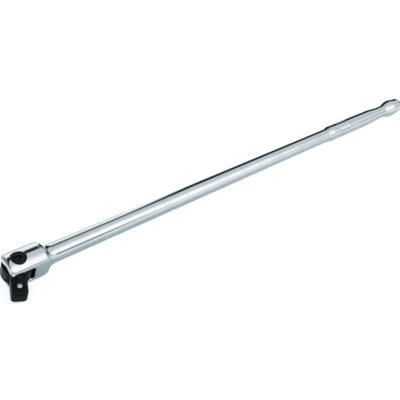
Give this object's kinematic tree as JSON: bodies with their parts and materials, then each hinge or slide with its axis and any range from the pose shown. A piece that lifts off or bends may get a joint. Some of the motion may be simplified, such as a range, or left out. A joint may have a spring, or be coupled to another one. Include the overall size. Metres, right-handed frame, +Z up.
{
  "type": "flex-head breaker bar",
  "caption": "Long chrome breaker bar whose forked head carries a swivelling black square drive with a sprung retaining ball.",
  "frame": {"origin": "middle of the bottom of the bounding box, on the bench the tool lies on", "axes": "+X along the bar from the forked head to the knob at the grip's end, +Z up from the bench; the swivel axis leans 20.5 degrees off +Z towards -Y"},
  "size_m": [0.6414, 0.0416, 0.0303],
  "materials": {
    "chrome_plate": "polished nickel-chrome plate",
    "black_oxide": "oiled black oxide on forged alloy steel",
    "black_screw": "black oxide on machined steel",
    "ball_steel": "bright hardened steel",
    "spring_steel": "drawn spring wire"
  },
  "bodies": {
    "handle": {"handle_bar": "chrome_plate", "pivot_screw": "black_screw", "head_ball_spring": "spring_steel"},
    "drive": {"drive_head": "black_oxide", "drive_ball_spring": "spring_steel"},
    "drive_ball": {"drive_ball": "ball_steel"},
    "head_ball": {"head_ball": "ball_steel"}
  },
  "joints": [
    {"name": "head_swivel", "type": "hinge", "parent": "handle", "child": "drive", "pos_m": [-0.30384, 0.00706, 0.015], "axis": [0, -0.3502, 0.9367], "range_deg": [-165.5, 34.5]},
    {"name": "drive_ball_push", "type": "slide", "parent": "drive", "child": "drive_ball", "axis": [0, 0.3502, -0.9367], "range_m": [0, 0.0009], "stiffness_N_per_m": 2000},
    {"name": "head_ball_push", "type": "slide", "parent": "handle", "child": "head_ball", "axis": [1, 0, 0], "range_m": [0, 0.0006], "stiffness_N_per_m": 5000}
  ]
}
